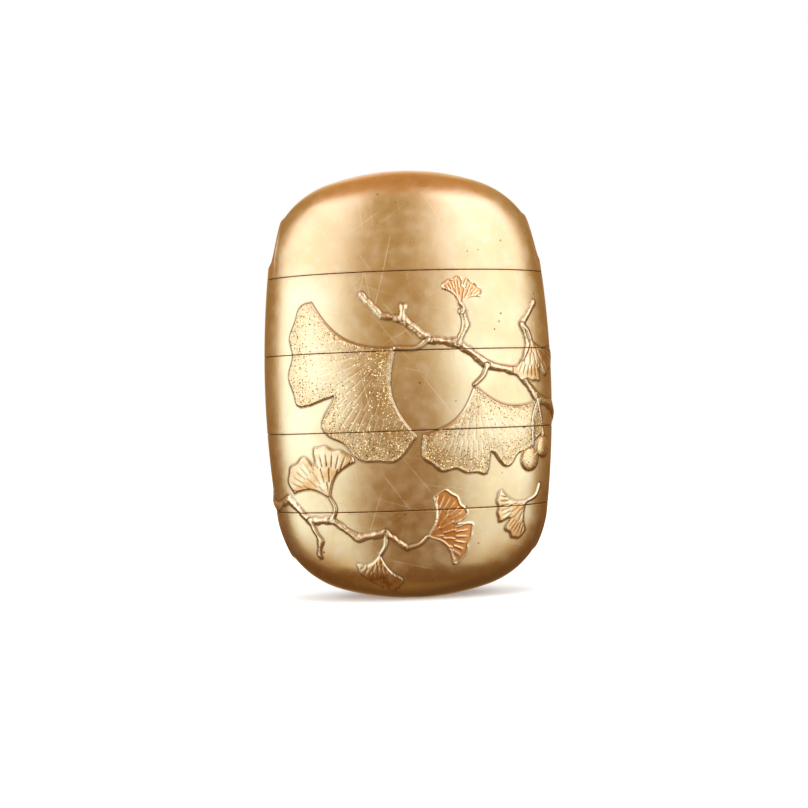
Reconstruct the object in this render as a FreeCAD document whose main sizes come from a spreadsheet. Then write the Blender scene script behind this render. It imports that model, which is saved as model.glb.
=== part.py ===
"""A four-case inro: a lid and a stack of flat oval cases that close on risers.

Millimetres. The origin is the middle of the foot, +Z is up, +X is to the
right and the decorated front faces -Y. The cases are numbered from the top.
"""
import FreeCAD, Part
import os

# Driving sizes, each written once.
SIZES = {
    # Heights of the stacked units, measured on the outside.
    "lid_height": 21.2,
    "case_height": 15.5,
    "base_height": 17.8,
    # Outline seen from the front: a bowed side, a round shoulder and a crown.
    "width": 58.0,
    "front_bow": 200.0,
    "front_shoulder": 17.6,
    "front_crown": 49.5,
    # Outline seen from the side.
    "depth": 26.0,
    "side_bow": 400.0,
    "side_shoulder": 8.0,
    "side_crown": 22.5,
    # The round bottom is cut flat by this much, which makes the foot.
    "foot_cut": 0.5,
    # Wall left between the outside and the hollows of the lid and the base.
    "end_wall": 2.2,
    # Cord channels through both ends, lined with small tubes below the lid.
    # The cover is the wall left outside the tubes at the lowest seam.
    "channel_cover": 0.169,
    "channel_radius": 1.1,
    "tube_wall": 0.2,
    "glue_gap": 0.04,
    # The lid's mouths are ovals, long from front to back. The flare share is
    # their length against one that follows the lid's own curve, and the land
    # is what is left flat between a mouth and the bevel of the lid's rim.
    "mouth_half_width": 1.3,
    "mouth_flare_share": 1.2,
    "mouth_land": 0.15,
    # Riser: the oval sleeve that stands up out of a case into the next unit.
    # Its recess stays clear of the tube seats by the web, and leaves the
    # recess cover in front and behind at the top of the lid's recess.
    "channel_web": 0.81,
    "recess_cover": 1.031,
    "riser_wall": 0.9,
    "riser_height": 7.0,
    "riser_lead": 0.25,
    "riser_clearance": 0.15,
    "riser_end_gap": 0.3,
    "floor_thickness": 1.2,
    # Height of the joint between the base case's wall and its bottom board.
    "bottom_board_height": 10.0,
    # Small bevel on the outer edge of every rim, which draws the seams.
    "rim_bevel": 0.15,
    # How far every cutting body runs past what it cuts.
    "overrun": 3.0,
    # Two heights closer than this are the same height.
    "height_match": 0.01,
}

# Middle cases between the lid and the base.
CASE_COUNT = 3

# Heights of the horizontal sections, as shares of half the form's height.
SECTION_SHARES = (
    0.0, 0.2, 0.38, 0.52, 0.62, 0.69, 0.75, 0.8, 0.845, 0.882,
    0.911, 0.933, 0.951, 0.9665, 0.9785, 0.9879, 0.9946, 0.9987,
)

FORM_HEIGHT = f"(Sizes.base_height + {CASE_COUNT} * Sizes.case_height + Sizes.lid_height)"
HALF_LENGTH = f"(({FORM_HEIGHT} + Sizes.foot_cut) / 2)"
MIDDLE = f"({FORM_HEIGHT} - {HALF_LENGTH})"

SIDES = {"left": -1, "right": 1}
RECESS_HEIGHT = "(Sizes.riser_height + Sizes.riser_end_gap)"
TUBE_RADIUS = "(Sizes.channel_radius + Sizes.tube_wall)"
SEAT_RADIUS = f"({TUBE_RADIUS} + Sizes.glue_gap)"
QUARTER_TURN = 90
RECESS_WIDTH = "Fits.riser_half_width + Sizes.riser_clearance"
RECESS_DEPTH = "Fits.riser_half_depth + Sizes.riser_clearance"
POCKET_WIDTH = "Fits.riser_half_width - Sizes.riser_wall"
POCKET_DEPTH = "Fits.riser_half_depth - Sizes.riser_wall"

doc = FreeCAD.newDocument("Inro")


def fill_sheet():
    """Write the driving sizes as plain numbers, each with its alias."""
    sheet = doc.addObject("Spreadsheet::Sheet", "Sizes")
    for row, (alias, value) in enumerate(SIZES.items(), start=1):
        sheet.set(f"A{row}", alias.replace("_", " "))
        sheet.set(f"B{row}", str(value))
        sheet.setAlias(f"B{row}", alias)
    doc.recompute()


def bound(kind, name, **formulas):
    """Add an object and bind each given property to a formula on the sheet."""
    thing = doc.addObject(kind, name)
    bind(thing, formulas)
    return thing


def bind(thing, formulas):
    """Bind properties, with x, y and z_place standing for the placement."""
    places = {"x_place": "Placement.Base.x", "y_place": "Placement.Base.y",
              "z_place": "Placement.Base.z"}
    for name, formula in formulas.items():
        thing.setExpression(places.get(name, name), formula)


def seam(number):
    """Height of a seam: 0 is the base case's rim and each case adds one."""
    return f"(Sizes.base_height + {number} * Sizes.case_height)"


def outline_values(name, view, half_size, inset):
    """Work out where the three tangent arcs of one view's outline meet.

    The bow's centre lies on the level of the middle, the crown's on the axis,
    and the shoulder arc touches both from inside. An inset outline keeps the
    three centres and takes the inset off each radius.
    """
    bow = f"Sizes.{view}_bow"
    shoulder = f"Sizes.{view}_shoulder"
    crown = f"Sizes.{view}_crown"
    bow_gap = f"({bow} - {shoulder})"
    crown_gap = f"({crown} - {shoulder})"
    centres = f"({name}.bow_out ^ 2 + {name}.crown_up ^ 2)"
    formulas = {
        "bow_out": f"{half_size} - {bow}",
        "crown_up": f"{HALF_LENGTH} - {crown}",
        "along": f"({bow_gap} ^ 2 - {crown_gap} ^ 2 + {centres}) / (2 * {centres})",
        "across": f"sqrt({bow_gap} ^ 2 / {centres} - {name}.along ^ 2)",
        "shoulder_out": f"{name}.bow_out * (1 - {name}.along) - {name}.across * {name}.crown_up",
        "shoulder_up": f"{name}.along * {name}.crown_up - {name}.across * {name}.bow_out",
        "bow_radius": f"{bow} - {inset}",
        "shoulder_radius": f"{shoulder} - {inset}",
        "crown_radius": f"{crown} - {inset}",
        "bow_top": f"{name}.bow_radius * {name}.shoulder_up / {bow_gap}",
        "shoulder_top": (f"{name}.crown_up + {name}.crown_radius"
                         f" * ({name}.shoulder_up - {name}.crown_up) / {crown_gap}"),
    }
    derived_values(name, formulas)


def derived_values(name, formulas):
    """Keep a set of numbers that follow from the sheet by their formulas."""
    values = doc.addObject("App::VarSet", name)
    for alias, formula in formulas.items():
        values.addProperty("App::PropertyFloat", alias)
        values.setExpression(alias, formula)


def reach(outline, level):
    """Formula for the half size of an outline at a level above the middle."""
    bow = f"{outline}.bow_out + sqrt({outline}.bow_radius ^ 2 - ({level}) ^ 2)"
    shoulder = (f"{outline}.shoulder_out + sqrt({outline}.shoulder_radius ^ 2"
                f" - (({level}) - {outline}.shoulder_up) ^ 2)")
    crown = f"sqrt({outline}.crown_radius ^ 2 - (({level}) - {outline}.crown_up) ^ 2)"
    upper = f"(({level}) < {outline}.shoulder_top ? {shoulder} : {crown})"
    return f"(({level}) < {outline}.bow_top ? {bow} : {upper})"


def fit_values():
    """Place the cord channels and size the riser from the form's own walls."""
    lowest_seam = f"abs({seam(0)} - {MIDDLE})"
    lid_seam = f"abs({seam(CASE_COUNT)} - {MIDDLE})"
    recess_top = f"abs({seam(CASE_COUNT)} + {RECESS_HEIGHT} - {MIDDLE})"
    derived_values("Fits", {
        "tube_reach": (f"{reach('outer_form_front', lowest_seam)}"
                       f" - Sizes.channel_cover - {TUBE_RADIUS}"),
        "mouth_reach": (f"{reach('outer_form_front', lid_seam)}"
                        " - Sizes.rim_bevel - Sizes.mouth_land - Sizes.mouth_half_width"),
        "channel_reach": "min(Fits.tube_reach; Fits.mouth_reach)",
        "riser_half_width": (f"Fits.channel_reach - {TUBE_RADIUS} - Sizes.glue_gap"
                             " - Sizes.channel_web - Sizes.riser_clearance"),
        "riser_half_depth": (f"{reach('outer_form_side', recess_top)}"
                             " - Sizes.recess_cover - Sizes.riser_clearance"),
        "mouth_half_depth": (f"Sizes.mouth_flare_share * {reach('outer_form_side', lid_seam)}"
                             " * sqrt(Sizes.mouth_half_width"
                             f" / {reach('outer_form_front', lid_seam)})"),
    })


def rounded_form(name, inset):
    """Loft the closed form through oval sections, from the bottom to the top."""
    outline_values(f"{name}_front", "front", "Sizes.width / 2", inset)
    outline_values(f"{name}_side", "side", "Sizes.depth / 2", inset)
    half_length = f"({HALF_LENGTH} - {inset})"
    below = [(-1, share) for share in reversed(SECTION_SHARES[1:])]
    above = [(1, share) for share in SECTION_SHARES]
    sections = []
    for number, (side, share) in enumerate(below + above):
        level = f"{share} * {half_length}"
        sections.append(bound(
            "Part::Ellipse", f"{name}_section_{number}",
            MajorRadius=reach(f"{name}_front", level),
            MinorRadius=reach(f"{name}_side", level),
            z_place=f"{MIDDLE} + {side} * {level}"))
    form = doc.addObject("Part::Loft", name)
    form.Sections = sections
    form.Solid = True
    return form


def slab(name, bottom, top):
    """Flat block wider than the form, between two heights."""
    return bound(
        "Part::Box", name,
        Length="Sizes.width + 2 * Sizes.overrun",
        Width="Sizes.depth + 2 * Sizes.overrun",
        Height=f"({top}) - ({bottom})",
        x_place="-Sizes.width / 2 - Sizes.overrun",
        y_place="-Sizes.depth / 2 - Sizes.overrun",
        z_place=bottom)


def oval(name, half_width, half_depth, bottom, top):
    """Upright oval prism between two heights, on the middle of the form."""
    rim = bound(
        "Part::Ellipse", f"{name}_rim",
        MajorRadius=half_width, MinorRadius=half_depth, z_place=bottom)
    return upright(name, rim, bottom, top)


def upright(name, rim, bottom, top):
    """Solid raised straight up from a flat rim."""
    prism = bound("Part::Extrusion", name, LengthFwd=f"({top}) - ({bottom})")
    prism.Base = rim
    prism.DirMode = "Custom"
    prism.Dir = FreeCAD.Vector(0, 0, 1)
    prism.Solid = True
    return prism


def post(name, side, radius, bottom, top):
    """Upright round bar on a cord channel's axis, to the left or the right."""
    return bound(
        "Part::Cylinder", name,
        Radius=radius, Height=f"({top}) - ({bottom})",
        x_place=f"{side} * Fits.channel_reach", z_place=bottom)


def common(name, base, tool):
    """What two solids share."""
    shared = doc.addObject("Part::Common", name)
    shared.Base = base
    shared.Tool = tool
    return shared


def cut(name, base, tools):
    """A solid with other solids taken out of it, one after the other."""
    for number, tool in enumerate(tools, start=1):
        last = number == len(tools)
        result = doc.addObject("Part::Cut", name if last else f"{name}_step_{number}")
        result.Base = base
        result.Tool = tool
        base = result
    return base


def outer_band(name, form, bottom, top):
    """The part of the form between two heights."""
    return common(name, form, slab(f"{name}_slab", bottom, top))


def channel_posts(name, radius, bottom, top):
    """Cutting bars for both cord channels, run past the ends of a piece."""
    return [post(f"{name}_{side}_bar", sign, radius,
                 f"{bottom} - Sizes.overrun", f"{top} + Sizes.overrun")
            for side, sign in SIDES.items()]


def mouth_posts(name, bottom, top):
    """Oval cutting bars for both cord mouths of the lid, long from front to back."""
    posts = []
    for side, sign in SIDES.items():
        low_end = f"{bottom} - Sizes.overrun"
        rim = bound(
            "Part::Ellipse", f"{name}_{side}_mouth_rim",
            MajorRadius="Fits.mouth_half_depth", MinorRadius="Sizes.mouth_half_width",
            x_place=f"{sign} * Fits.channel_reach", z_place=low_end)
        rim.Placement.Rotation = FreeCAD.Rotation(FreeCAD.Vector(0, 0, 1), QUARTER_TURN)
        posts.append(upright(f"{name}_{side}_mouth", rim, low_end, f"{top} + Sizes.overrun"))
    return posts


def rim_edge(shape, height):
    """Number of the longest edge that lies flat at a height: the outer rim."""
    near = doc.Sizes.height_match
    flat = [(edge.Length, number)
            for number, edge in enumerate(shape.Edges, start=1)
            if abs(edge.BoundBox.ZMin - height) < near
            and abs(edge.BoundBox.ZMax - height) < near]
    return max(flat)[1]


def bevelled(name, base, heights, bevel):
    """Break the outermost edge of a piece at each of some heights."""
    doc.recompute()
    size = getattr(doc.Sizes, bevel)
    result = doc.addObject("Part::Chamfer", name)
    result.Base = base
    result.Edges = [(rim_edge(base.Shape, height), size, size) for height in heights]
    return result


def height_of(formula):
    """Value of a height formula."""
    return doc.Sizes.evalExpression(formula)


def wall(name, form, bottom, top, rims, bars):
    """Outer wall of a unit: a band bored for the riser and the cord channels."""
    bore = oval(f"{name}_bore", RECESS_WIDTH, RECESS_DEPTH,
                f"{bottom} - Sizes.overrun", f"{top} + Sizes.overrun")
    band = outer_band(f"{name}_band", form, bottom, top)
    heights = [height_of(rim) for rim in rims]
    edged = bevelled(f"{name}_edged", band, heights, "rim_bevel")
    return cut(name, edged, [bore] + bars)


def riser(name, bottom, rim):
    """Oval sleeve from a floor to above the rim, bevelled to lead it in."""
    top = f"{rim} + Sizes.riser_height"
    body = oval(f"{name}_body", "Fits.riser_half_width", "Fits.riser_half_depth",
                bottom, top)
    pocket = oval(f"{name}_pocket", POCKET_WIDTH, POCKET_DEPTH,
                  f"{bottom} - Sizes.overrun", f"{top} + Sizes.overrun")
    led = bevelled(f"{name}_led", body, [height_of(top)], "riser_lead")
    return cut(name, led, [pocket])


def floor_board(name, bottom):
    """Oval board that closes a case above the recess for the next riser."""
    return oval(name, "Fits.riser_half_width", "Fits.riser_half_depth",
                bottom, f"{bottom} + Sizes.floor_thickness")


def cord_tube(name, side, bottom, top):
    """Thin tube that lines a cord channel through one unit."""
    body = post(f"{name}_body", side, TUBE_RADIUS, bottom, top)
    hole = post(f"{name}_hole", side, "Sizes.channel_radius",
                f"{bottom} - Sizes.overrun", f"{top} + Sizes.overrun")
    return cut(name, body, [hole])


def hollow(name, inner, bottom, top):
    """Room inside the lid or the base: the pocket's oval within the inset form."""
    prism = oval(f"{name}_prism", POCKET_WIDTH, POCKET_DEPTH, bottom, top)
    return common(name, prism, inner)


def end_board(name, form, bottom, top, room, bars):
    """Domed board that closes the stack, hollowed on its inner side."""
    band = outer_band(f"{name}_band", form, bottom, top)
    return cut(name, band, [room] + bars)


def make_case(number, form):
    """A middle case: wall, riser, floor board and two cord tubes."""
    name = f"case_{number}"
    bottom = seam(CASE_COUNT - number)
    rim = seam(CASE_COUNT - number + 1)
    floor = f"{bottom} + {RECESS_HEIGHT}"
    seats = channel_posts(f"{name}_wall", SEAT_RADIUS, bottom, rim)
    pieces = [
        wall(f"{name}_wall", form, bottom, rim, [bottom, rim], seats),
        riser(f"{name}_riser", f"{floor} + Sizes.floor_thickness", rim),
        floor_board(f"{name}_floor_board", floor),
    ]
    for side, sign in SIDES.items():
        pieces.append(cord_tube(f"{name}_cord_tube_{side}", sign, bottom, rim))
    return pieces


def make_base(form, inner):
    """The base case: wall, bottom board, riser and two cord tubes."""
    name = "base_case"
    rim = seam(0)
    joint = "Sizes.bottom_board_height"
    room = hollow(f"{name}_room", inner, "0", f"{joint} + Sizes.overrun")
    wall_seats = channel_posts(f"{name}_wall", SEAT_RADIUS, joint, rim)
    board_seats = channel_posts(f"{name}_bottom_board", SEAT_RADIUS, "0", joint)
    pieces = [
        wall(f"{name}_wall", form, joint, rim, [rim], wall_seats),
        end_board(f"{name}_bottom_board", form, "0", joint, room, board_seats),
        riser(f"{name}_riser", joint, rim),
    ]
    for side, sign in SIDES.items():
        tube = cord_tube(f"{name}_cord_tube_{side}_blank", sign, "0", rim)
        pieces.append(common(f"{name}_cord_tube_{side}", tube, form))
    return pieces


def make_lid(form, inner):
    """The lid: wall and crown board, with an oval mouth for each cord end."""
    name = "lid"
    bottom = seam(CASE_COUNT)
    joint = f"{bottom} + {RECESS_HEIGHT}"
    top = f"{FORM_HEIGHT} + Sizes.overrun"
    room = hollow(f"{name}_room", inner, f"{joint} - Sizes.overrun", top)
    wall_mouths = mouth_posts(f"{name}_wall", bottom, joint)
    crown_mouths = mouth_posts(f"{name}_crown_board", joint, FORM_HEIGHT)
    return [
        wall(f"{name}_wall", form, bottom, joint, [bottom], wall_mouths),
        end_board(f"{name}_crown_board", form, joint, top, room, crown_mouths),
    ]


def check_document(pieces):
    """Stop if any object failed or any piece has no good shape."""
    doc.recompute()
    for thing in doc.Objects:
        if "Invalid" in thing.State or "Error" in thing.State:
            raise RuntimeError(f"{thing.Name} failed: {thing.State}")
    for piece in pieces:
        shape = piece.Shape
        if shape.isNull() or not shape.isValid() or len(shape.Solids) != 1:
            raise RuntimeError(f"{piece.Label} is not one good solid")


def write_parts(pieces):
    """Write each piece to a file with its own name and print its size."""
    os.makedirs("parts", exist_ok=True)
    for piece in pieces:
        piece.Shape.exportStep(f"parts/{piece.Label}.step")
        box = piece.Shape.optimalBoundingBox()
        print(f"{piece.Label}: {piece.Shape.Volume:.1f} mm3,"
              f" {box.XLength:.2f} x {box.YLength:.2f} x {box.ZLength:.2f} mm,"
              f" from {box.ZMin:.2f} up")


fill_sheet()
outer = rounded_form("outer_form", "0")
inner = rounded_form("inner_form", "Sizes.end_wall")
fit_values()
pieces = make_lid(outer, inner)
for number in range(1, CASE_COUNT + 1):
    pieces += make_case(number, outer)
pieces += make_base(outer, inner)
check_document(pieces)
write_parts(pieces)
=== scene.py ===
"""The looks of a four-case gold lacquer inro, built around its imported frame.

Metres, in the row frame: +Z up, the decorated front faces -Y. The design is
written in millimetres, and becomes metres where a mesh is made.
"""
import math

import bpy
import numpy as np
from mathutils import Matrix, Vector


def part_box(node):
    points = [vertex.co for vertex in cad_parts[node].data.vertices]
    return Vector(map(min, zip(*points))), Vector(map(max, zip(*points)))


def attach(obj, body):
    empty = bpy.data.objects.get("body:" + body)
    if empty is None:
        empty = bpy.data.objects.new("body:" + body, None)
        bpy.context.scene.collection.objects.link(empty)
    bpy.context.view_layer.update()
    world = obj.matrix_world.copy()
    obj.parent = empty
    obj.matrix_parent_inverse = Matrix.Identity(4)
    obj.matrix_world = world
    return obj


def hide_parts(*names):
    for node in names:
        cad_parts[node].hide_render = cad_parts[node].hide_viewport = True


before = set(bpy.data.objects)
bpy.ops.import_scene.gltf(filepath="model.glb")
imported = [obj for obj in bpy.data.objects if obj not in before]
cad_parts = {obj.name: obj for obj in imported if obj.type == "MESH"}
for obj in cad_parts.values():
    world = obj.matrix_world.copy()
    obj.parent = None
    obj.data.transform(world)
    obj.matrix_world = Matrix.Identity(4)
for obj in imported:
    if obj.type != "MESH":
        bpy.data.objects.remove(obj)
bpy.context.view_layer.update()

MM = 0.001

# The form's outline: the arcs of its two views, in millimetres.
FRONT_ARCS = {"half": 29.0, "bow": 200.0, "shoulder": 17.6, "crown": 49.5}
SIDE_ARCS = {"half": 13.0, "bow": 400.0, "shoulder": 8.0, "crown": 22.5}
HEIGHT = 85.5
FOOT_CUT = 0.5
HALF_LENGTH = (HEIGHT + FOOT_CUT) / 2
MIDDLE = HEIGHT - HALF_LENGTH
POLE_SHARE = 0.9987  # the top ring stays just off the pole
TOP = MIDDLE + POLE_SHARE * HALF_LENGTH
END_WALL = 2.2


def low(node):
    """Lowest corner of a node, in millimetres."""
    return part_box(node)[0] / MM


def high(node):
    """Highest corner of a node, in millimetres."""
    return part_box(node)[1] / MM


# Places read from the frame, in millimetres.
CASES = ("case_1", "case_2", "case_3")
LID_SEAM = low("lid_wall").z
LID_LEDGE = high("lid_wall").z
BASE_SEAM = high("base_case_wall").z
BASE_LEDGE = low("base_case_wall").z
RISER_HALF = (high("case_1_riser").x, high("case_1_riser").y)
CHANNEL_REACH = (low("case_1_cord_tube_right").x + high("case_1_cord_tube_right").x) / 2
TUBE_RADIUS = high("case_1_cord_tube_right").y
RISER_CLEARANCE = 0.15
RISER_WALL = 0.9
GLUE_GAP = 0.04
SEAT = (TUBE_RADIUS + GLUE_GAP, TUBE_RADIUS + GLUE_GAP)
MOUTH = (1.3, 3.219)

# The rims: a small round edge, and a hair's breadth between the units.
RIM_RADIUS = 0.14
RIM_GAP = 0.025
RIM_STEPS = 4

# How finely the outline and the widest oval are walked.
TURN_SAMPLES = 4001
OUTLINE_SAMPLES = 6000


def arc_centres(arcs):
    """Places and gaps of the three tangent arcs' centres."""
    bow_out = arcs["half"] - arcs["bow"]
    crown_up = HALF_LENGTH - arcs["crown"]
    bow_gap = arcs["bow"] - arcs["shoulder"]
    crown_gap = arcs["crown"] - arcs["shoulder"]
    centres = bow_out ** 2 + crown_up ** 2
    along = (bow_gap ** 2 - crown_gap ** 2 + centres) / (2 * centres)
    across = math.sqrt(bow_gap ** 2 / centres - along ** 2)
    out = bow_out * (1 - along) - across * crown_up
    up = along * crown_up - across * bow_out
    return bow_out, crown_up, bow_gap, crown_gap, out, up


def reach(arcs, height, inset=0.0):
    """Half size of one view's outline at a height, drawn in by an inset."""
    bow_out, crown_up, bow_gap, crown_gap, out, up = arc_centres(arcs)
    level = np.abs(np.asarray(height, float) - MIDDLE)
    bow = arcs["bow"] - inset
    shoulder = arcs["shoulder"] - inset
    crown = arcs["crown"] - inset
    bow_top = bow * up / bow_gap
    shoulder_top = crown_up + crown * (up - crown_up) / crown_gap
    side = bow_out + np.sqrt(np.maximum(bow ** 2 - level ** 2, 0))
    corner = out + np.sqrt(np.maximum(shoulder ** 2 - (level - up) ** 2, 0))
    cap = np.sqrt(np.maximum(crown ** 2 - (level - crown_up) ** 2, 0))
    return np.where(level < bow_top, side, np.where(level < shoulder_top, corner, cap))


def ground_line():
    """Turns round the widest oval against the distance walked from the front."""
    turn = np.linspace(-math.pi, math.pi, TURN_SAMPLES)
    speed = np.hypot(FRONT_ARCS["half"] * np.cos(turn), SIDE_ARCS["half"] * np.sin(turn))
    walked = np.concatenate([[0], np.cumsum((speed[1:] + speed[:-1]) / 2 * np.diff(turn))])
    return turn, walked - walked[TURN_SAMPLES // 2]


GROUND_TURN, GROUND_WALK = ground_line()
HALF_ROUND = GROUND_WALK[-1]
FRONT_HALF = 37.0


def walk_round(front_step, back_step):
    """Distances round the oval, closer together on the front than behind."""
    front = np.linspace(-FRONT_HALF, FRONT_HALF, int(2 * FRONT_HALF / front_step))
    rest = 2 * (HALF_ROUND - FRONT_HALF)
    back = np.linspace(FRONT_HALF, FRONT_HALF + rest, int(rest / back_step))[1:-1]
    walk = np.concatenate([front, back])
    return (walk + HALF_ROUND) % (2 * HALF_ROUND) - HALF_ROUND


def outline_heights(bottom, top, step):
    """Heights from bottom to top, evenly spaced along the front outline."""
    fine = np.linspace(bottom, top, OUTLINE_SAMPLES)
    reached = reach(FRONT_ARCS, fine)
    walked = np.concatenate([[0], np.cumsum(np.hypot(np.diff(fine), np.diff(reached)))])
    count = max(int(walked[-1] / step), 2)
    return np.interp(np.linspace(0, walked[-1], count), walked, fine)


# Shapes of the raised design, drawn on the unrolled wall: x is the distance
# walked round from the middle of the front, y is the height.

def hashed(i, j, seed):
    """Repeatable value from 0 to 1 for each lattice point."""
    n = (i * 374761393 + j * 668265263 + seed * 974634777) & 0x7FFFFFFF
    n = ((n ^ (n >> 13)) * 1274126177) & 0x7FFFFFFF
    return ((n ^ (n >> 16)) & 0xFFFF) / 0xFFFF


def grain(x, y, size, seed):
    """Smooth value noise from -1 to 1 with grains of a given size."""
    u, v = x / size, y / size
    i, j = np.floor(u).astype(np.int64), np.floor(v).astype(np.int64)
    fu, fv = u - i, v - j
    fu, fv = fu * fu * (3 - 2 * fu), fv * fv * (3 - 2 * fv)
    a, b = hashed(i, j, seed), hashed(i + 1, j, seed)
    c, d = hashed(i, j + 1, seed), hashed(i + 1, j + 1, seed)
    return 2 * ((a * (1 - fu) + b * fu) * (1 - fv) + (c * (1 - fu) + d * fu) * fv) - 1


def ramp(value, low_end, high_end):
    """Smooth step from 0 at one end to 1 at the other."""
    t = np.clip((value - low_end) / (high_end - low_end), 0, 1)
    return t * t * (3 - 2 * t)


SPAN_STEPS = 6


def smooth_line(points):
    """Points along a smooth cubic curve through the given points."""
    p = np.asarray(points, float)
    p = np.vstack([2 * p[0] - p[1], p, 2 * p[-1] - p[-2]])
    t = np.linspace(0, 1, SPAN_STEPS, endpoint=False)[:, None]
    out = []
    for a, b, c, d in zip(p, p[1:], p[2:], p[3:]):
        out.append(0.5 * (2 * b + (c - a) * t + (2 * a - 5 * b + 4 * c - d) * t ** 2
                          + (3 * b - a - 3 * c + d) * t ** 3))
    return np.vstack(out + [p[-2:-1]])


def line_distance(x, y, line, radii=None):
    """Distance to a bent line, less its radius there if radii are given."""
    best = np.full(x.shape, 1e9)
    for k in range(len(line) - 1):
        ax, ay = line[k]
        dx, dy = line[k + 1] - line[k]
        t = np.clip(((x - ax) * dx + (y - ay) * dy) / (dx * dx + dy * dy + 1e-12), 0, 1)
        gap = np.hypot(x - ax - t * dx, y - ay - t * dy)
        if radii is not None:
            gap = gap - (radii[k] + (radii[k + 1] - radii[k]) * t)
        best = np.minimum(best, gap)
    return best


def inside_distance(x, y, loop):
    """Distance to a closed outline, above zero inside it."""
    inside = np.zeros(x.shape, bool)
    closed = np.vstack([loop, loop[:1]])
    for (ax, ay), (bx, by) in zip(closed, closed[1:]):
        if ay != by:
            crossing = (ay > y) != (by > y)
            inside ^= crossing & (x < (bx - ax) * (y - ay) / (by - ay) + ax)
    gap = line_distance(x, y, closed)
    return np.where(inside, gap, -gap)


class Sheet:
    """Heights and masks of the design at the points of one skin."""

    MASKS = ("flaked", "pink", "red", "twig", "line", "grime")

    def __init__(self, x, y):
        self.x, self.y = x, y
        self.height = np.zeros(x.shape)
        self.masks = {name: np.zeros(x.shape) for name in self.MASKS}

    def near(self, points, margin):
        """Places of the points that lie within a margin of a shape's box."""
        left, down = np.min(points, 0) - margin
        right, up = np.max(points, 0) + margin
        return np.flatnonzero((self.x > left) & (self.x < right) & (self.y > down) & (self.y < up))

    def lay(self, at, cover, height, **masks):
        """Lay a shape over what is there, as far as its cover goes."""
        self.height[at] = self.height[at] * (1 - cover) + height * cover
        for name in self.MASKS:
            value = masks.get(name, 0)
            self.masks[name][at] = self.masks[name][at] * (1 - cover) + value * cover

    def shade(self, at, outward, width):
        """Paint shade on the ground along a shape's foot; outward is the distance from it."""
        grime = np.exp(-((outward - 0.7 * width) / width) ** 2)
        self.masks["grime"][at] = np.maximum(self.masks["grime"][at], grime)


RIM_POINTS = 61
EDGE_POINTS = 12
LONG_WAVE = 0.035
SHORT_WAVE = 0.018
NOTCH_WIDTH = 0.07
CORNER_ROUND = 0.16
EDGE_BOW = 0.16


def fan_outline(spread, notch, waves, phase):
    """Outline of a fan leaf of unit size: its stalk end is at the origin."""
    turn = np.radians(np.linspace(-spread, spread, RIM_POINTS))
    share = np.linspace(-1, 1, RIM_POINTS)
    rim = 1 + LONG_WAVE * np.sin(waves * share + phase) + SHORT_WAVE * np.sin(2.7 * waves * share)
    rim -= notch * np.exp(-(share / NOTCH_WIDTH) ** 2) + CORNER_ROUND * np.abs(share) ** 7
    margin = np.stack([rim * np.sin(turn), rim * np.cos(turn)], 1)
    step = np.linspace(0.04, 0.93, EDGE_POINTS)[:, None]
    bow = EDGE_BOW * np.sin(math.pi * step)

    def edge(corner, side):
        normal = np.array([-corner[1], corner[0]]) * side
        return corner * step + normal * bow

    return np.vstack([edge(margin[0], -1), margin, edge(margin[-1], 1)[::-1]])


def placed(shape, at, heading, size):
    """A unit shape moved to its place: heading 0 points up, 90 to the right."""
    a = math.radians(heading)
    x = shape[:, 0] * math.cos(a) + shape[:, 1] * math.sin(a)
    y = -shape[:, 0] * math.sin(a) + shape[:, 1] * math.cos(a)
    return np.stack([x, y], 1) * size + np.asarray(at, float)


def local(x, y, at, heading):
    """Coordinates with the leaf's stalk end as origin and its axis upward."""
    a = math.radians(heading)
    dx, dy = x - at[0], y - at[1]
    return dx * math.cos(a) - dy * math.sin(a), dx * math.sin(a) + dy * math.cos(a)


# Leaves: widths and heights in millimetres, places as shares of the leaf's size.
EDGE_WIDTH = 0.32
LEAF_MARGIN = 1.0
LARGE_FROM = 12
SMALL_LEAF_FORKS = 1.7
DEGREES_IN_RADIAN = 57.3
EDGE_HEIGHT = {"large": 0.42, "pink": 0.28, "flat": 0.05}
FOLD_HEIGHT = 0.12
VEIN_DEPTH = {"large": 0.035, "pink": 0.11}
OUTLINE_HEIGHT = 0.16
FOOT_WIDTH = 0.16


def leaf_veins(away, turn, size):
    """Share of forking veins at places a share of the size away from the stalk's end."""
    forks = np.where(away > 0.62, 5.0, np.where(away > 0.33, 10.0, 20.0))
    forks = forks * (1.0 if size > LARGE_FROM else SMALL_LEAF_FORKS)
    ray = np.abs((turn / forks) % 1 - 0.5) * forks / DEGREES_IN_RADIAN * away * size
    return (1 - ramp(ray, 0.03, 0.16)) * ramp(away, 0.12, 0.24) * (1 - ramp(away, 0.8, 0.93))


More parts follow.
